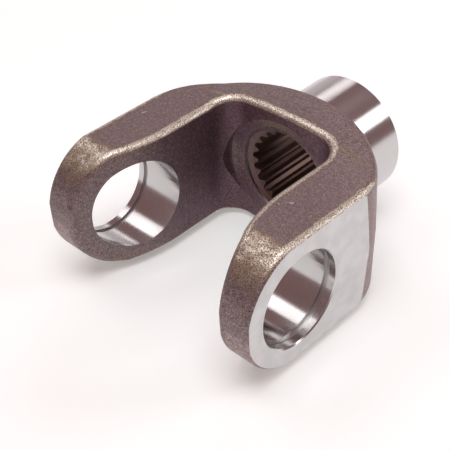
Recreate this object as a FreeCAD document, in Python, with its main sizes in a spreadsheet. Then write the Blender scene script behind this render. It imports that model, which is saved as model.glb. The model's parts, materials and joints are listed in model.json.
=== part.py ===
import FreeCAD, Part
import math
import os
import re
import Sketcher

V = FreeCAD.Vector
close = 1e-4
touch = 0.05
doc = FreeCAD.newDocument("ForgedYoke")
sheet = doc.addObject("Spreadsheet::Sheet", "Sizes")

# Sizes in millimetres and degrees.  X is the cross-bore axis, Y runs from the ears to the hub,
# Z is the forging direction and z = 0 is the parting plane.
sizes = [
    ("faceHalf", "49.3", "milled ear face to the centre plane"),
    ("stock", "1.0", "forged skin outside the milled face"),
    ("boreRadius", "18", "bearing-cap bore"),
    ("boreChamfer", "0.5", "lead-in at the milled face"),
    ("ringRadius", "19", "retaining-ring groove"),
    ("ringOuter", "46.2", "outer wall of the ring groove"),
    ("ringWidth", "2.2", "width of the ring groove"),
    ("armHeight", "25.2", "half thickness of the arms"),
    ("tipRadius", "25.9", "rounded ear end about the bore"),
    ("tipTrim", "25.4", "ear end where the flash is trimmed flat"),
    ("draft", "1.5", "die draft from the parting plane"),
    ("backCentre", "10.7", "centre of the rounded back"),
    ("backRadius", "56.7", "rounded back at the parting plane"),
    ("blendRadius", "30", "arm side to back"),
    ("gapHalf", "26.2", "inner wall beside the web"),
    ("flareStart", "16", "where the inner wall starts to curve outward"),
    ("flareRadius", "62", "curve of the inner wall"),
    ("flareEnd", "9", "where that curve runs out, on the ear side of the bore axis"),
    ("mouthHalf", "38", "inner wall at the open end of the gap"),
    ("mouthEnd", "32", "open end of the gap, past the ear ends"),
    ("webFace", "46", "web face in the gap"),
    ("cornerRadius", "8.5", "gap corner in plan"),
    ("rampStart", "36", "where the arms begin to thicken"),
    ("ridge", "45", "ridge of the web"),
    ("webHeight", "28.6", "crown of the web on its ridge"),
    ("crownHalf", "34", "half width of the crown"),
    ("slopeEnd", "70", "where the slope behind the ridge is measured"),
    ("slopeHeight", "26.2", "crown of the web at that place"),
    ("slopeEdge", "24.6", "edge of the crown at that place"),
    ("edgeRadius", "2.5", "die radius on the outer edges"),
    ("hubRadius", "24.15", "turned hub"),
    ("hubRoot", "56", "buried end of the hub"),
    ("hubEnd", "87.3", "hub face from the bore axis"),
    ("hubChamfer", "0.5", "outer edge of the hub"),
    ("dishRadius", "25.5", "forged dish round the spline mouth"),
    ("dishFloor", "20.5", "flat bottom of that dish"),
    ("dishFace", "47.7", "depth of that dish"),
    ("seatRadius", "19.3", "turned seat at the spline mouth"),
    ("seatFace", "48.6", "edge of the turned seat"),
    ("mouthAngle", "30", "slope of the spline mouth from the seat plane"),
    ("exitRadius", "18.2", "spline chamfer at the hub face"),
    ("teeth", "21", "spline teeth"),
    ("pitchRadius", "16.669", "spline pitch circle"),
    ("toothRadius", "15.9", "bore over the tooth tips"),
    ("rootRadius", "17.55", "bottom of the tooth spaces"),
    ("pressure", "30", "spline pressure angle"),
    ("sharp", "40", "edges that turn more than this get the die radius"),
    ("spare", "1", "how far a cut runs past the metal it removes"),
]
derived = [
    ("sideHalf", "=faceHalf + stock"),
    ("blendX", "=sideHalf - blendRadius"),
    ("blendY", "=backCentre + sqrt((backRadius - blendRadius)^2 - blendX^2)"),
    ("backX", "=backRadius * blendX / (backRadius - blendRadius)"),
    ("backY", "=backCentre + backRadius * (blendY - backCentre) / (backRadius - blendRadius)"),
    ("trimHalf", "=sqrt(tipRadius^2 - tipTrim^2)"),
    ("tipTop", "=sqrt(tipRadius^2 - armHeight^2)"),
    ("flareEndHalf", "=gapHalf + flareRadius - sqrt(flareRadius^2 - (flareStart + flareEnd)^2)"),
    ("blankHeight", "=webHeight + spare"),
    ("boreLead", "=boreRadius + boreChamfer"),
    ("ringInner", "=ringOuter - ringWidth"),
    ("gapEnd", "=webFace - 2 * cornerRadius"),
    ("mouthTop", "=seatFace + (seatRadius - toothRadius) * tan(mouthAngle)"),
    ("exitStart", "=hubEnd - (exitRadius - toothRadius)"),
    ("pitchHalf", "=pitchRadius * sin(90 / teeth)"),
    ("flankRadius", "=pitchRadius * sin(pressure)"),
    ("lowRadius", "=toothRadius - spare"),
    ("lowHalf", "=pitchHalf + (pitchRadius - lowRadius) * tan(pressure)"),
    ("rootHalf", "=pitchHalf - (rootRadius - pitchRadius) * tan(pressure)"),
    ("beyond", "=2 * hubEnd"),
    ("through", "=2 * beyond"),
]
for row, (name, value, *note) in enumerate(sizes + derived, 1):
    sheet.set("A%d" % row, name)
    sheet.set("B%d" % row, value)
    sheet.setAlias("B%d" % row, name)
    sheet.set("C%d" % row, note[0] if note else "from the sizes above")
doc.recompute()

body = doc.addObject("PartDesign::Body", "forged_yoke")
body.Label = "forged_yoke"
planes = {f.Role: f for f in body.Origin.OriginFeatures}


def size(expression):
    return float(sheet.evalExpression(expression))


def bind(target, path, expression):
    names = [entry[0] for entry in sizes + derived]
    target.setExpression(path, re.sub(
        "[A-Za-z]+", lambda word: ("Sizes." if word[0] in names else "") + word[0], expression))


def check(feature):
    body.Tip = feature
    doc.recompute()
    bad = [s for s in feature.State if s in ("Invalid", "Error")]
    if bad or feature.Shape.isNull() or not feature.Shape.isValid():
        raise RuntimeError("%s: %s" % (feature.Label, feature.State))
    print("%-14s %10.1f mm3" % (feature.Label, feature.Shape.Volume))
    return feature


def profile(name, role, corners, lift=None):
    # Closed outline.  A corner is (across, up), or (across, up, radius) when an arc follows it:
    # a positive radius turns left along the way, a negative one right.
    sketch = body.newObject("Sketcher::SketchObject", name)
    sketch.AttachmentSupport = [(planes[role], "")]
    sketch.MapMode = "FlatFace"
    if lift:
        bind(sketch, "AttachmentOffset.Base.z", lift)
    doc.recompute()
    spots = [V(size(c[0]), size(c[1]), 0) for c in corners]
    count = len(corners)
    first, last = [1] * count, [2] * count
    for i, corner in enumerate(corners):
        a, b = spots[i], spots[(i + 1) % count]
        if len(corner) == 2:
            sketch.addGeometry(Part.LineSegment(a, b), False)
            continue
        if size(corner[2]) < 0:
            a, b = b, a
            first[i], last[i] = 2, 1
        radius = abs(size(corner[2]))
        along = b - a
        left = V(-along.y, along.x, 0).normalize()
        rise = radius - (radius ** 2 - (along.Length / 2) ** 2) ** 0.5
        sketch.addGeometry(Part.Arc(a, (a + b) / 2 - left * rise, b), False)
    for i in range(count):
        nxt = (i + 1) % count
        sketch.addConstraint(Sketcher.Constraint("Coincident", i, last[i], nxt, first[nxt]))
    for i, corner in enumerate(corners):
        for kind, axis, text, spot in (("DistanceX", -2, corner[0], spots[i].x),
                                       ("DistanceY", -1, corner[1], spots[i].y)):
            if abs(spot) < close:
                sketch.addConstraint(Sketcher.Constraint("PointOnObject", i, first[i], axis))
                continue
            k = sketch.addConstraint(Sketcher.Constraint(kind, -1, 1, i, first[i], spot))
            bind(sketch, "Constraints[%d]" % k, text)
        if len(corner) == 3:
            k = sketch.addConstraint(Sketcher.Constraint("Radius", i, abs(size(corner[2]))))
            bind(sketch, "Constraints[%d]" % k, corner[2].lstrip("-"))
    doc.recompute()
    return sketch


def pocket(name, sketch, length, both=False):
    feature = body.newObject("PartDesign::Pocket", name)
    feature.Profile = sketch
    feature.Type = "Length"
    feature.Midplane = both
    feature.Reversed = not both
    bind(feature, "Length", length)
    return check(feature)


def turned(kind, name, sketch, axis):
    feature = body.newObject("PartDesign::" + kind, name)
    feature.Profile = sketch
    feature.ReferenceAxis = (planes[axis], [""])
    feature.Angle = 360
    return check(feature)


# Upper half of the forging: the plan outline with the gap, both drafted from the parting plane.
plan = profile("PlanOutline", "XY_Plane", [
    ("sideHalf", "-mouthEnd"), ("sideHalf", "blendY", "blendRadius"), ("backX", "backY", "backRadius"),
    ("-backX", "backY", "blendRadius"), ("-sideHalf", "blendY"), ("-sideHalf", "-mouthEnd"),
])
blank = body.newObject("PartDesign::Pad", "Blank")
blank.Profile = plan
bind(blank, "Length", "blankHeight")
check(blank)
gap = profile("GapOutline", "XY_Plane", [
    ("mouthHalf", "-mouthEnd"), ("flareEndHalf", "-flareEnd", "-flareRadius"), ("gapHalf", "flareStart"),
    ("gapHalf", "webFace - cornerRadius", "cornerRadius"), ("gapHalf - cornerRadius", "webFace"),
    ("cornerRadius - gapHalf", "webFace", "cornerRadius"), ("-gapHalf", "webFace - cornerRadius"),
    ("-gapHalf", "flareStart", "-flareRadius"), ("-flareEndHalf", "-flareEnd"), ("-mouthHalf", "-mouthEnd"),
])
cut = pocket("Gap", gap, "blankHeight")
walls = ["Face%d" % i for i, f in enumerate(cut.Shape.Faces, 1)
         if f.BoundBox.ZMin < close < f.BoundBox.ZLength
         and not (f.BoundBox.YLength < close and f.BoundBox.YMin < 0)]
drafted = body.newObject("PartDesign::Draft", "DieDraft")
drafted.Base = (cut, walls)
drafted.NeutralPlane = (planes["XY_Plane"], [""])
bind(drafted, "Angle", "draft")
check(drafted)

# Top face: flat arms, a ramp up to the web's ridge and a crowned slope to the back.
flat = profile("ArmFlat", "YZ_Plane", [
    ("-beyond", "armHeight"), ("rampStart", "armHeight"), ("rampStart", "beyond"), ("-beyond", "beyond"),
])
pocket("ArmTop", flat, "through", True)
sections = []
for name, at, edge, top in (("CrownRamp", "rampStart", "armHeight", None),
                            ("CrownRidge", "ridge", "armHeight", "webHeight"),
                            ("CrownBack", "slopeEnd", "slopeEdge", "slopeHeight")):
    bend = () if top is None else (
        "-((crownHalf^2 + (%s - %s)^2) / (2 * (%s - %s)))" % (top, edge, top, edge),)
    sections.append(profile(name, "XZ_Plane", [
        ("-beyond", edge), ("-crownHalf", edge) + bend, ("crownHalf", edge),
        ("beyond", edge), ("beyond", "beyond"), ("-beyond", "beyond"),
    ], "-" + at))
crown = body.newObject("PartDesign::SubtractiveLoft", "CrownTop")
crown.Profile = sections[0]
crown.Sections = sections[1:]
crown.Ruled = True
check(crown)

# Ear end: round about the bore axis, with the flash trimmed off flat at the parting plane.
end = profile("EarEnd", "YZ_Plane", [
    ("-tipTrim", "trimHalf", "-tipRadius"), ("-tipTop", "armHeight"), ("-tipTop", "beyond"),
    ("-beyond", "beyond"), ("-beyond", "-spare"), ("-tipTrim", "-spare"),
])
ends = pocket("EarEnds", end, "through", True)


def turn(shape, edge):
    # Angle between the two faces at an edge, zero along a seam or an inside corner.
    faces = shape.ancestorsOfType(edge, Part.Face)
    if len(faces) != 2:
        return 0
    spot = edge.valueAt((edge.FirstParameter + edge.LastParameter) / 2)
    normals = [f.normalAt(*f.Surface.parameter(spot)) for f in faces]
    outward = (normals[0] + normals[1]).normalize()
    angle = math.degrees(normals[0].getAngle(normals[1]))
    return angle if shape.isInside(spot - outward * touch, close, True) else 0


rims = ["Edge%d" % i for i, e in enumerate(ends.Shape.Edges, 1)
        if e.BoundBox.ZMax > close and turn(ends.Shape, e) > size("sharp")]
rounded = body.newObject("PartDesign::Fillet", "DieRadii")
rounded.Base = (ends, rims)
bind(rounded, "Radius", "edgeRadius")
check(rounded)
whole = body.newObject("PartDesign::Mirrored", "LowerHalf")
whole.TransformMode = "Whole shape"
whole.MirrorPlane = (planes["XY_Plane"], [""])
check(whole)

# Hub, turned down from the forging.
hub = profile("HubSection", "XY_Plane", [
    ("0", "hubRoot"), ("hubRadius", "hubRoot"), ("hubRadius", "hubEnd - hubChamfer"),
    ("hubRadius - hubChamfer", "hubEnd"), ("0", "hubEnd"),
])
turned("Revolution", "Hub", hub, "Y_Axis")

# Ear faces, milled off square to the bore.
for label, side in (("MilledRight", ""), ("MilledLeft", "-")):
    slab = profile(label + "Stock", "XY_Plane", [
        (side + "faceHalf", "-beyond"), (side + "beyond", "-beyond"),
        (side + "beyond", "beyond"), (side + "faceHalf", "beyond"),
    ])
    pocket(label, slab, "through", True)

# Cross bore with a retaining-ring groove and a lead-in at each milled face.
bore = profile("BoreSection", "XY_Plane", [
    ("-beyond", "0"), ("-beyond", "boreLead"), ("-faceHalf", "boreLead"),
    ("boreChamfer - faceHalf", "boreRadius"), ("-ringOuter", "boreRadius"), ("-ringOuter", "ringRadius"),
    ("-ringInner", "ringRadius"), ("-ringInner", "boreRadius"), ("ringInner", "boreRadius"),
    ("ringInner", "ringRadius"), ("ringOuter", "ringRadius"), ("ringOuter", "boreRadius"),
    ("faceHalf - boreChamfer", "boreRadius"), ("faceHalf", "boreLead"),
    ("beyond", "boreLead"), ("beyond", "0"),
])
turned("Groove", "CrossBore", bore, "X_Axis")

# Bore of the hub: forged dish, turned mouth, bore over the tooth tips, chamfer at the hub face.
core = profile("HubBoreSection", "XY_Plane", [
    ("0", "gapEnd"), ("dishRadius", "gapEnd"), ("dishRadius", "webFace"), ("dishFloor", "dishFace"),
    ("seatRadius", "dishFace"), ("seatRadius", "seatFace"), ("toothRadius", "mouthTop"),
    ("toothRadius", "exitStart"), ("exitRadius", "hubEnd"), ("exitRadius", "beyond"), ("0", "beyond"),
])
turned("Groove", "HubBore", core, "Y_Axis")

# Tooth space with rounded flanks, cut through the hub and repeated round its axis.
space = profile("ToothSpace", "XZ_Plane", [
    ("-lowHalf", "lowRadius"), ("lowHalf", "lowRadius", "flankRadius"),
    ("rootHalf", "rootRadius"), ("-rootHalf", "rootRadius", "flankRadius"),
])
slot = pocket("Slot", space, "through", True)
slots = body.newObject("PartDesign::PolarPattern", "Spline")
slots.Originals = [slot]
slots.Axis = (planes["Y_Axis"], [""])
slots.Angle = 360
bind(slots, "Occurrences", "teeth")
check(slots)

os.makedirs("parts", exist_ok=True)
body.Shape.exportStep("parts/forged_yoke.step")
print("%d faces, %d solid" % (len(body.Shape.Faces), len(body.Shape.Solids)))
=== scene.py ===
import bmesh
import bpy
import json
import math
from mathutils import Matrix, Vector, noise as unevenness
from mathutils.bvhtree import BVHTree


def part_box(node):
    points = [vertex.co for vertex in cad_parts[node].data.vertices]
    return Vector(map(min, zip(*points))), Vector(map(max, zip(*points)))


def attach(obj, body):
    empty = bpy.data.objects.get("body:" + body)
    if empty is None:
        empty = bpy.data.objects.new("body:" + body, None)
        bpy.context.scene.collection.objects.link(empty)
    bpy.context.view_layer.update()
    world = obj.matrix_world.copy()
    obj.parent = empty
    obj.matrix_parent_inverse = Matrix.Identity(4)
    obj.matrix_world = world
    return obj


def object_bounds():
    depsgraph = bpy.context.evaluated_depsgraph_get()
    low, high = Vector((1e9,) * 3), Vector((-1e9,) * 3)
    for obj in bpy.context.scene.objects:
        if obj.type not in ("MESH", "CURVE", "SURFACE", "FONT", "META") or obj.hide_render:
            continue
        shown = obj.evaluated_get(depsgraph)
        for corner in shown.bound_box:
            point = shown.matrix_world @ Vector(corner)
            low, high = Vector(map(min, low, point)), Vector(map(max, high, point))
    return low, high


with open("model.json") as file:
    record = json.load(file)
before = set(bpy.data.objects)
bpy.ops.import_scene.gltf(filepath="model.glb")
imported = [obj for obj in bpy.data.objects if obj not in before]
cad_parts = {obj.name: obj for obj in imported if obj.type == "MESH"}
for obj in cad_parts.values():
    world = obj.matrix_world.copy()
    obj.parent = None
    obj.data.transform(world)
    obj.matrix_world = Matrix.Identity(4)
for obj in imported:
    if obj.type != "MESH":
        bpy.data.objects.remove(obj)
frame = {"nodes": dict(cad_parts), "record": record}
cadLow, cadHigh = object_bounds()
yoke = frame["nodes"]["forged_yoke"]
mounts = {mount["name"]: mount for mount in frame["record"]["mounts"]}
yokeLow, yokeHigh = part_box("forged_yoke")
mm = 0.001
print("frame loaded")


# Node helpers: each one adds a node, feeds its sockets and returns the output.

def newMaterial(name):
    material = bpy.data.materials.new(name)
    material.use_nodes = True
    nodes = material.node_tree.nodes
    return material, material.node_tree, nodes["Principled BSDF"]


def feed(tree, socket, value):
    if isinstance(value, bpy.types.NodeSocket):
        tree.links.new(value, socket)
    else:
        socket.default_value = value


def maths(tree, operation, first, second=0.0, third=0.0):
    node = tree.nodes.new("ShaderNodeMath")
    node.operation = operation
    for socket, value in zip(node.inputs, (first, second, third)):
        feed(tree, socket, value)
    return node.outputs[0]


def length(tree, first, second):
    squares = [maths(tree, "MULTIPLY", part, part) for part in (first, second)]
    return maths(tree, "SQRT", maths(tree, "ADD", *squares))


def ramp(tree, value, low, high, start=0.0, end=1.0):
    node = tree.nodes.new("ShaderNodeMapRange")
    node.interpolation_type = "SMOOTHSTEP"
    for socket, number in zip(node.inputs, (value, low, high, start, end)):
        feed(tree, socket, number)
    return node.outputs[0]


def noise(tree, spot, size, detail=2.0, roughness=0.5):
    node = tree.nodes.new("ShaderNodeTexNoise")
    feed(tree, node.inputs["Vector"], spot)
    node.inputs["Scale"].default_value = 1 / size
    node.inputs["Detail"].default_value = detail
    node.inputs["Roughness"].default_value = roughness
    return node.outputs["Fac"]


def blend(tree, share, first, second):
    node = tree.nodes.new("ShaderNodeMix")
    node.data_type = "RGBA"
    feed(tree, node.inputs["Factor"], share)
    feed(tree, node.inputs["A"], first)
    feed(tree, node.inputs["B"], second)
    return node.outputs["Result"]


def scaled(tree, colour, operation, factor):
    node = tree.nodes.new("ShaderNodeVectorMath")
    node.operation = operation
    feed(tree, node.inputs[0], colour)
    feed(tree, node.inputs["Scale"] if operation == "SCALE" else node.inputs[1], factor)
    return node.outputs[0]


def bump(tree, height, depth):
    node = tree.nodes.new("ShaderNodeBump")
    node.inputs["Distance"].default_value = depth
    node.inputs["Strength"].default_value = 1.0
    feed(tree, node.inputs["Height"], height)
    return node.outputs["Normal"]


def place(tree):
    # the place on the object as one vector and split by axis, and the way the surface faces
    node = tree.nodes.new("ShaderNodeTexCoord")
    split = tree.nodes.new("ShaderNodeSeparateXYZ")
    tree.links.new(node.outputs["Object"], split.inputs[0])
    turned = tree.nodes.new("ShaderNodeSeparateXYZ")
    tree.links.new(node.outputs["Normal"], turned.inputs[0])
    return node.outputs["Object"], split.outputs, turned.outputs


def grey(value, warmth=0.0):
    return (value, value * (1 - warmth), value * (1 - warmth), 1)


# Forging skin

skin = {
    "dark": (0.215, 0.158, 0.166, 1),
    "light": (0.320, 0.252, 0.256, 1),
    "pit": (0.080, 0.050, 0.056, 1),
    "gold": (0.50, 0.39, 0.25, 1),
    "fringe": (0.33, 0.245, 0.170, 1),
    "rubbed": (0.84, 0.81, 0.72, 1),
    "wall": 1.45,  # painted light: how much lighter the outer walls are drawn, for the light the floor throws up onto them
    "wallFrom": (1.5 * mm, 4 * mm),
    "wallBelow": (1.0 * mm, -2.5 * mm),
    "wallBack": (30 * mm, 44 * mm),
    # painted light: the right and back of the skin are drawn lighter, where more light falls
    "rightLight": (52 * mm, 82 * mm, 0.0, 0.45),
    "inside": (0.66, 0.54, 0.66),  # painted shade: the darker tint painted on the gap's walls
    "gapShadeTo": (1.6 * mm, 0.6 * mm),
    "gapShadeFrom": (-4 * mm, 24 * mm),
    "mottle": 1.4 * mm,
    "fleck": 0.55 * mm,
    "wander": 3.5 * mm,  # how quickly the worn bands widen and narrow
    "grain": 0.36 * mm,
    "grainDepth": 0.12 * mm,
    "lump": 7 * mm,
    "lumpDepth": 0.35 * mm,
    "crease": -6.0 * mm,
    "creaseWidth": 1.8 * mm,
    "creaseDepth": 0.20 * mm,
    "metal": 0.72,
    "roughness": 0.50,
    "rubbedRoughness": 0.38,
}

# Where the rounded edges lie on the top and bottom of the yoke
edges = {
    "gapHalf": 26.9 * mm,
    "webFace": 46.7 * mm,
    "corner": 8.5 * mm,
    "flareFrom": 16 * mm,
    "flareTo": 25 * mm,
    "flareRadius": 62 * mm,
    "mouthSlope": 0.284,
    "innerWidth": 3.4 * mm,
    "innerFade": 1.4 * mm,
    "outerWidth": 2.9 * mm,
    "outerFade": 1.0 * mm,
    "outerTo": (50 * mm, 42 * mm),
    "drift": 2.5 * mm,
    "topFrom": (17 * mm, 21 * mm),
    "armFrom": (-20 * mm, -6 * mm),
    "ridge": 45.4 * mm,
    "ridgeWidth": 1.7 * mm,
    "ridgeCore": 0.2 * mm,
    "ridgeEnds": (46 * mm, 30 * mm, 0.0, 0.42),
    "roundEnd": (-3 * mm, -7.5 * mm),
    "roundEndWear": (0.30, 0.66, 0.35, 0.85),
}


def fromGap(tree, at):
    # how far a point lies from the outline of the fork gap, seen from above
    side = maths(tree, "ABSOLUTE", at["X"])
    along = maths(tree, "SUBTRACT", edges["flareFrom"], at["Y"])
    curved = maths(tree, "MINIMUM", maths(tree, "MAXIMUM", along, 0.0), edges["flareTo"])
    square = maths(tree, "MULTIPLY", curved, curved)
    flare = maths(tree, "DIVIDE", square, 2 * edges["flareRadius"])
    straight = maths(tree, "MAXIMUM", maths(tree, "SUBTRACT", along, edges["flareTo"]), 0.0)
    flare = maths(tree, "MULTIPLY_ADD", straight, edges["mouthSlope"], flare)
    across = maths(tree, "SUBTRACT", maths(tree, "SUBTRACT", side, edges["gapHalf"]), flare)
    across = maths(tree, "ADD", across, edges["corner"])
    deep = maths(tree, "ADD", maths(tree, "SUBTRACT", at["Y"], edges["webFace"]), edges["corner"])
    outside = length(tree, maths(tree, "MAXIMUM", across, 0.0), maths(tree, "MAXIMUM", deep, 0.0))
    inside = maths(tree, "MINIMUM", maths(tree, "MAXIMUM", across, deep), 0.0)
    return side, maths(tree, "SUBTRACT", maths(tree, "ADD", outside, inside), edges["corner"])


def rubbedEdges(tree, at, facing, wander):
    side, inner = fromGap(tree, at)
    up = maths(tree, "ABSOLUTE", facing["Z"])
    facesUp = ramp(tree, up, 0.18, 0.55)
    drift = maths(tree, "MULTIPLY", maths(tree, "SUBTRACT", wander, 0.5), edges["drift"])
    # along the gap, and beside the milled faces
    width = edges["innerWidth"]
    innerBand = ramp(tree, maths(tree, "ADD", inner, drift), width, width - edges["innerFade"])
    outer = maths(tree, "ADD", maths(tree, "SUBTRACT", yokeHigh.x, side), drift)
    width = edges["outerWidth"]
    outerBand = ramp(tree, outer, width, width - edges["outerFade"])
    outerBand = maths(tree, "MULTIPLY", outerBand, ramp(tree, at["Y"], *edges["outerTo"]))
    bands = maths(tree, "MULTIPLY", maths(tree, "MAXIMUM", innerBand, outerBand), facesUp)
    height = maths(tree, "ABSOLUTE", at["Z"])
    bands = maths(tree, "MULTIPLY", bands, ramp(tree, height, *edges["topFrom"]))
    # on the ridge of the web
    ridge = maths(tree, "MULTIPLY_ADD", drift, 0.5, at["Y"])
    ridge = maths(tree, "ABSOLUTE", maths(tree, "SUBTRACT", ridge, edges["ridge"]))
    ridge = ramp(tree, ridge, edges["ridgeWidth"], edges["ridgeCore"])
    ridge = maths(tree, "MULTIPLY", ridge, ramp(tree, side, *edges["ridgeEnds"]))
    ridge = maths(tree, "MULTIPLY", ridge, ramp(tree, up, 0.90, 0.96))
    # the round ends are rubbed only near their crease
    end = ramp(tree, at["Y"], *edges["roundEnd"])
    end = maths(tree, "MULTIPLY", end, ramp(tree, up, 0.50, 0.95))
    end = maths(tree, "MULTIPLY", end, ramp(tree, wander, *edges["roundEndWear"]))
    bands = maths(tree, "MULTIPLY", bands, ramp(tree, at["Y"], *edges["armFrom"]))
    return inner, maths(tree, "MAXIMUM", maths(tree, "MAXIMUM", bands, ridge), end)


def forgedSkin():
    material, tree, shader = newMaterial("forged skin")
    spot, at, facing = place(tree)
    mottle = noise(tree, spot, skin["mottle"], 4.0, 0.65)
    grain = noise(tree, spot, skin["grain"], 2.0, 0.6)
    fleck = noise(tree, spot, skin["fleck"], 1.0, 0.5)
    wander = noise(tree, spot, skin["wander"], 3.0, 0.6)
    lump = noise(tree, spot, skin["lump"], 2.0, 0.5)
    colour = blend(tree, ramp(tree, mottle, 0.30, 0.70), skin["dark"], skin["light"])
    colour = blend(tree, ramp(tree, grain, 0.52, 0.34), colour, skin["pit"])
    colour = blend(tree, ramp(tree, fleck, 0.60, 0.73, 0.0, 0.9), colour, skin["gold"])
    inner, worn = rubbedEdges(tree, at, facing, wander)
    # painted light: the outer walls are drawn lighter below the parting line on the ears and all
    # over the back, for the light the floor throws up onto them
    up = maths(tree, "ABSOLUTE", facing["Z"])
    wall = maths(tree, "MULTIPLY", ramp(tree, up, 0.95, 0.6), ramp(tree, inner, *skin["wallFrom"]))
    low = ramp(tree, at["Z"], *skin["wallBelow"])
    back = ramp(tree, at["Y"], *skin["wallBack"])
    wall = maths(tree, "MULTIPLY", wall, maths(tree, "MAXIMUM", low, back))
    # painted light: lighter still towards the right and back, where more light falls
    right = ramp(tree, maths(tree, "ADD", at["X"], at["Y"]), *skin["rightLight"])
    paintedLight = maths(tree, "MULTIPLY_ADD", maths(tree, "MAXIMUM", wall, right), skin["wall"] - 1, 1.0)
    colour = scaled(tree, colour, "SCALE", paintedLight)
    # painted shade: the walls of the gap are drawn darker, more so deeper towards the web
    gapShade = ramp(tree, inner, *skin["gapShadeTo"])
    gapShade = maths(tree, "MULTIPLY", gapShade, ramp(tree, up, 0.5, 0.15))
    gapShade = maths(tree, "MULTIPLY", gapShade, ramp(tree, at["Y"], *skin["gapShadeFrom"]))
    colour = blend(tree, gapShade, colour, scaled(tree, colour, "MULTIPLY", skin["inside"]))
    # wear takes the high grains first, with a brown fringe round the bare metal
    sparkle = maths(tree, "MULTIPLY", worn, ramp(tree, grain, 0.36, 0.60, 0.0, 1.15))
    colour = blend(tree, ramp(tree, sparkle, 0.04, 0.30), colour, skin["fringe"])
    rubbed = ramp(tree, sparkle, 0.25, 0.95)
    colour = blend(tree, rubbed, colour, skin["rubbed"])
    feed(tree, shader.inputs["Base Color"], colour)
    metal = maths(tree, "MULTIPLY_ADD", rubbed, 1.0 - skin["metal"], skin["metal"])
    feed(tree, shader.inputs["Metallic"], metal)
    smoother = skin["rubbedRoughness"] - skin["roughness"]
    gloss = maths(tree, "MULTIPLY_ADD", rubbed, smoother, skin["roughness"])
    feed(tree, shader.inputs["Roughness"], gloss)
    height = maths(tree, "MULTIPLY_ADD", lump, skin["lumpDepth"] / skin["grainDepth"], grain)
    # the crease of the round ends is softened on both sides
    away = maths(tree, "ABSOLUTE", maths(tree, "SUBTRACT", at["Y"], skin["crease"]))
    dip = maths(tree, "POWER", math.exp(-1), maths(tree, "DIVIDE", away, skin["creaseWidth"]))
    height = maths(tree, "MULTIPLY_ADD", dip, -skin["creaseDepth"] / skin["grainDepth"], height)
    feed(tree, shader.inputs["Normal"], bump(tree, height, skin["grainDepth"]))
    return material


# Machined surfaces

machined = {
    "face": grey(0.70, -0.01),
    "faceShade": grey(0.62, -0.01),
    "cloud": 6 * mm,
    "toolStep": 0.5 * mm,  # from one tool arc to the next
    "fine": 0.5 * mm,
    "toolDepth": 0.0045 * mm,
    "bright": grey(0.58, 0.015),
    "dull": (0.16, 0.105, 0.10, 1),
    "spline": (0.115, 0.070, 0.058, 1),
}


def milledFace():
    material, tree, shader = newMaterial("milled face")
    spot, at, facing = place(tree)
    cloud = noise(tree, spot, machined["cloud"], 3.0)
    shader.inputs["Metallic"].default_value = 0.7
    shader.inputs["Roughness"].default_value = 0.42
    colour = blend(tree, ramp(tree, cloud, 0.3, 0.7), machined["faceShade"], machined["face"])
    feed(tree, shader.inputs["Base Color"], colour)
    # tool arcs round the cross bore, and a finer unevenness
    radius = length(tree, at["Y"], at["Z"])
    arcs = maths(tree, "SINE", maths(tree, "MULTIPLY", radius, 2 * math.pi / machined["toolStep"]))
    fine = noise(tree, spot, machined["fine"], 3.0, 0.6)
    height = maths(tree, "MULTIPLY_ADD", fine, 6.0, maths(tree, "MULTIPLY", arcs, cloud))
    feed(tree, shader.inputs["Normal"], bump(tree, height, machined["toolDepth"]))
    return material


def turnedSteel(name, axis, roughness=0.22):
    # the gloss is drawn out along the axis, as turning draws it; no marks are cut into it
    material, tree, shader = newMaterial(name)
    shader.inputs["Metallic"].default_value = 1.0
    shader.inputs["Base Color"].default_value = machined["bright"]
    shader.inputs["Roughness"].default_value = roughness
    shader.inputs["Anisotropic"].default_value = 0.8
    shader.inputs["Anisotropic Rotation"].default_value = 0.25
    tangent = tree.nodes.new("ShaderNodeTangent")
    tangent.direction_type = "RADIAL"
    tangent.axis = axis
    tree.links.new(tangent.outputs[0], shader.inputs["Tangent"])
    return material


def plainCut(name, colour, roughness):
    material, tree, shader = newMaterial(name)
    shader.inputs["Metallic"].default_value = 0.8
    shader.inputs["Base Color"].default_value = colour
    shader.inputs["Roughness"].default_value = roughness
    return material


# Zones of the yoke, by the sizes of its machined surfaces
zones = {
    "faceHalf": yokeHigh.x,
    "boreWall": mounts["cross_bore"]["dims"]["r_mm"] * mm,
    "ringWall": 19 * mm,
    "ringFrom": 43.95 * mm,
    "ringTo": 46.25 * mm,
    "hubWall": mounts["turned_hub"]["dims"]["r_mm"] * mm,
    "hubFrom": 60 * mm,
    "splineRoot": 17.6 * mm,
    "seatWall": 19.35 * mm,
    "seatFace": 48.6 * mm,
    "seatDepth": 3 * mm,
    "seatEnd": 70 * mm,
    "boreFrom": 25 * mm,
    "chamfer": 0.7 * mm,
    "slack": 0.06 * mm,
}


def zoneOf(polygon):
    centre, facing = polygon.center, polygon.normal
    slack, chamfer = zones["slack"], zones["chamfer"]
    aroundX = math.hypot(centre.y, centre.z)
    aroundY = math.hypot(centre.x, centre.z)
    outX = abs(centre.x)
    inRing = zones["ringFrom"] < outX < zones["ringTo"] and aroundX > zones["boreWall"] + slack
    inSeat = zones["seatFace"] - zones["seatDepth"] < centre.y < zones["seatEnd"]
    if outX > zones["faceHalf"] - slack and abs(facing.x) > 0.9:
        return "face"
    if aroundX < zones["boreWall"] + chamfer and outX > zones["faceHalf"] - chamfer:
        return "bore"
    if aroundX < zones["ringWall"] + slack and inRing:
        return "ring"
    if aroundX < zones["boreWall"] + slack and outX > zones["boreFrom"] and abs(facing.x) < 0.5:
        return "bore"
    if aroundY < zones["splineRoot"] and centre.y > zones["seatFace"] - slack:
        return "spline"
    if aroundY < zones["seatWall"] + slack and inSeat:
        return "seat" if abs(facing.y) < 0.5 else "dull"
    if aroundY < zones["hubWall"] + slack and centre.y > zones["hubFrom"]:
        return "hub"
    return "skin"


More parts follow.
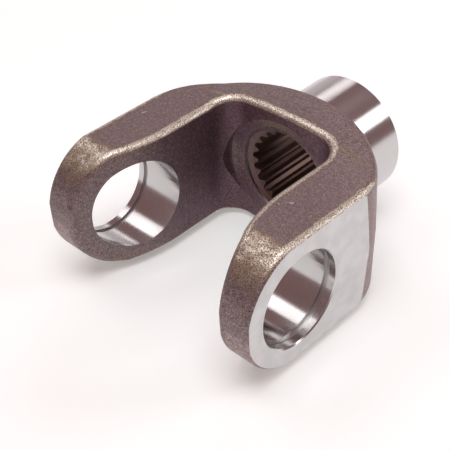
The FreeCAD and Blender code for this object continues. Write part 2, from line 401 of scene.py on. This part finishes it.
def dressYoke():
    materials = {
        "skin": forgedSkin(),
        "face": milledFace(),
        "bore": turnedSteel("bored steel", "X"),
        "ring": turnedSteel("ring groove", "X", 0.35),
        "hub": turnedSteel("turned steel", "Y"),
        "seat": turnedSteel("turned seat", "Y", 0.35),
        "dull": plainCut("dull cut", machined["dull"], 0.45),
        "spline": plainCut("spline cut", machined["spline"], 0.4),
    }
    yoke.data.materials.clear()
    for material in materials.values():
        yoke.data.materials.append(material)
    order = list(materials)
    for polygon in yoke.data.polygons:
        polygon.material_index = order.index(zoneOf(polygon))


dressYoke()
print("yoke dressed")

# Low scabs on the skin: torn flash on the ear tips, a blank pad on the web, nicks on the arms

scabs = {
    # name: centre, outward, along, half width, half length and height in mm, finish
    "blank_pad": ((1.0, 55.5, 27.6), (0, 0, 1), (1, 0, 0), 2.4, 4.2, 0.50, "skin"),
    "far_flash": ((-36.9, -24.7, 2.5), (0.6, -0.8, 0), (0, 0, 1), 1.7, 7.5, 0.55, "skin"),
    "near_flash": ((48.4, -24.9, 4.0), (0.45, -0.89, 0), (0, 0, 1), 0.9, 7.0, 0.50, "skin"),
    "near_nick": ((34.6, 12.2, 25.2), (0, 0, 1), (0.8, 0.6, 0), 0.30, 0.9, 0.18, "bright"),
    "near_scratch": ((31.6, 9.3, 25.2), (0, 0, 1), (0.9, -0.4, 0), 0.25, 0.7, 0.15, "bright"),
    "far_nick": ((-42.9, 18.6, 25.2), (0, 0, 1), (0.3, 0.95, 0), 0.35, 1.3, 0.18, "bright"),
}
scabShape = {
    "across": 10, "along": 36,
    "crown": 4,  # higher is flatter, with steeper sides
    "sunk": 0.12 * mm,
    "thick": 0.5 * mm,
    "tear": 0.45,
    "tearSize": 1.3 * mm,
    "reach": 4 * mm,
    "inset": 0.02 * mm,  # how far it stays inside the box of the yoke
}


def makeScab(name, surface, finishes):
    centre, outward, along, halfWidth, halfLength, height, finish = scabs[name]
    centre = Vector(centre) * mm
    outward, along = Vector(outward).normalized(), Vector(along).normalized()
    across = along.cross(outward)
    shape = bmesh.new()
    rows = {"x_segments": scabShape["across"], "y_segments": scabShape["along"]}
    bmesh.ops.create_grid(shape, size=1, **rows)
    # lay the grid on the skin, raise its middle and tear its surface
    for point in shape.verts:
        u, v = point.co.x, point.co.y
        offset = (across * halfWidth * u + along * halfLength * v) * mm
        start = centre + offset + outward * scabShape["reach"]
        hit = surface.ray_cast(start, -outward)[0] or centre + offset
        crown = 1 - max(abs(u), abs(v)) ** scabShape["crown"]
        if name != "blank_pad":
            crown += unevenness.noise(start / scabShape["tearSize"]) * scabShape["tear"]
        point.co = hit + outward * (height * crown * mm - scabShape["sunk"])
    under = bmesh.ops.extrude_face_region(shape, geom=shape.faces[:])["geom"]
    under = [part for part in under if isinstance(part, bmesh.types.BMVert)]
    bmesh.ops.translate(shape, verts=under, vec=-outward * scabShape["thick"])
    inset = scabShape["inset"]
    for point in shape.verts:
        point.co.x = min(max(point.co.x, cadLow.x + inset), cadHigh.x - inset)
        point.co.y = max(point.co.y, cadLow.y + inset)
    bmesh.ops.recalc_face_normals(shape, faces=shape.faces)
    mesh = bpy.data.meshes.new(name)
    shape.to_mesh(mesh)
    shape.free()
    mesh.polygons.foreach_set("use_smooth", [True] * len(mesh.polygons))
    scab = bpy.data.objects.new(name, mesh)
    bpy.context.collection.objects.link(scab)
    mesh.materials.append(finishes[finish])
    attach(scab, "root")


def makeScabs():
    bpy.context.view_layer.update()
    surface = BVHTree.FromObject(yoke, bpy.context.evaluated_depsgraph_get())
    materials = yoke.data.materials
    finishes = {"skin": materials["forged skin"], "bright": materials["ring groove"]}
    for name in scabs:
        makeScab(name, surface, finishes)


makeScabs()
print("scabs made")

# Floor, light and camera

studio = {
    "floor": (0.87, 0.91, 0.91, 1),
    "floorLift": 0.26,  # brightness that only the camera and reflections see
    "floorSize": 8.0,
    "room": (0.25, 0.145, 0.14, 1),
    "roomRadius": 2.6,
    "roomHeight": 3.0,
    "roomSides": 48,
    "paleWall": 137,  # azimuth in degrees
    "paleColour": (0.68, 0.60, 0.62, 1),
    "paleFrom": (2.2, 2.5),
    "paleBelow": (1.25, 0.9),
    "aim": (0, 0.03, 0),
    "lamps": [
        # name, azimuth and elevation in degrees, distance, width, height, brightness
        ("left box", 188, 56, 1.7, 0.80, 0.50, 3.0),
        ("right box", 52, 30, 1.7, 0.62, 0.40, 6.5),
        ("back box", 127, 32, 1.9, 0.60, 0.34, 2.2),
        ("top box", -40, 80, 1.9, 1.20, 1.20, 4.2),
    ],
}


def backgroundRays(tree):
    path = tree.nodes.new("ShaderNodeLightPath").outputs
    seen = maths(tree, "MAXIMUM", path["Is Camera Ray"], path["Is Glossy Ray"])
    return maths(tree, "MAXIMUM", seen, path["Is Transmission Ray"])


def makeFloor():
    bpy.ops.mesh.primitive_plane_add(size=studio["floorSize"], location=(0, 0, yokeLow.z))
    floor = bpy.context.object
    floor.name = "floor"
    material, tree, shader = newMaterial("floor")
    shader.inputs["Base Color"].default_value = studio["floor"]
    shader.inputs["Roughness"].default_value = 0.9
    shader.inputs["Specular IOR Level"].default_value = 0.0
    shader.inputs["Emission Color"].default_value = (1, 1, 1, 1)
    lift = maths(tree, "MULTIPLY", backgroundRays(tree), studio["floorLift"])
    feed(tree, shader.inputs["Emission Strength"], lift)
    floor.data.materials.append(material)


# A plain brown room round the table, which the steel shows and the camera doesn't see
def makeRoom():
    shape = bmesh.new()
    radius, depth = studio["roomRadius"], studio["roomHeight"] * 2
    size = {"radius1": radius, "radius2": radius, "depth": depth}
    bmesh.ops.create_cone(shape, cap_ends=True, segments=studio["roomSides"], **size)
    bmesh.ops.reverse_faces(shape, faces=shape.faces)
    mesh = bpy.data.meshes.new("room")
    shape.to_mesh(mesh)
    shape.free()
    room = bpy.data.objects.new("room", mesh)
    bpy.context.collection.objects.link(room)
    material, tree, shader = newMaterial("room")
    shader.inputs["Base Color"].default_value = (0, 0, 0, 1)
    spot, at, facing = place(tree)
    # a pale wall stands low behind the hub
    a = math.radians(studio["paleWall"])
    alongX = maths(tree, "MULTIPLY", at["X"], math.cos(a))
    alongY = maths(tree, "MULTIPLY", at["Y"], math.sin(a))
    near = maths(tree, "ADD", alongX, alongY)
    pale = ramp(tree, near, *studio["paleFrom"])
    pale = maths(tree, "MULTIPLY", pale, ramp(tree, at["Z"], *studio["paleBelow"]))
    colour = blend(tree, pale, studio["room"], studio["paleColour"])
    feed(tree, shader.inputs["Emission Color"], colour)
    shader.inputs["Emission Strength"].default_value = 1.0
    mesh.materials.append(material)
    room.visible_camera = False


def makeWorld():
    world = bpy.data.worlds.new("studio")
    bpy.context.scene.world = world
    world.use_nodes = True
    background = world.node_tree.nodes["Background"]
    background.inputs["Color"].default_value = (1, 1, 1, 1)
    background.inputs["Strength"].default_value = 1.0


def makeLamps():
    centre = Vector(studio["aim"])
    for lampSet in studio["lamps"]:
        name, azimuth, elevation, distance, width, height, brightness = lampSet
        data = bpy.data.lights.new(name, "AREA")
        data.shape = "RECTANGLE"
        data.size, data.size_y = width, height
        data.energy = brightness * math.pi * width * height
        lamp = bpy.data.objects.new(name, data)
        a, e = math.radians(azimuth), math.radians(elevation)
        out = Vector((math.cos(a) * math.cos(e), math.sin(a) * math.cos(e), math.sin(e)))
        lamp.location = centre + out * distance
        lamp.rotation_euler = out.to_track_quat("Z", "Y").to_euler()
        bpy.context.collection.objects.link(lamp)


view = {
    "azimuth": 46.3, "elevation": 39.32, "roll": -3.57,
    "place": (0.198793, -0.176445, 0.216957),
    "focal": 78.1252, "sensor": 36, "shift": (0.00615, 0.02625),
}


def makeCamera():
    a, e, r = (math.radians(view[name]) for name in ("azimuth", "elevation", "roll"))
    back = Vector((math.sin(a) * math.cos(e), -math.cos(a) * math.cos(e), math.sin(e)))
    right = Vector((0, 0, 1)).cross(back).normalized()
    up = back.cross(right)
    across = right * math.cos(r) + up * math.sin(r)
    above = up * math.cos(r) - right * math.sin(r)
    data = bpy.data.cameras.new("camera")
    data.lens = view["focal"]
    data.sensor_width = view["sensor"]
    data.shift_x, data.shift_y = view["shift"]
    data.clip_start = 0.01
    camera = bpy.data.objects.new("camera", data)
    turn = Matrix((across, above, back)).transposed().to_4x4()
    camera.matrix_world = Matrix.Translation(view["place"]) @ turn
    bpy.context.collection.objects.link(camera)
    bpy.context.scene.camera = camera


makeFloor()
makeRoom()
makeWorld()
makeLamps()
makeCamera()
bpy.context.scene.view_settings.view_transform = "Standard"
print("studio ready")
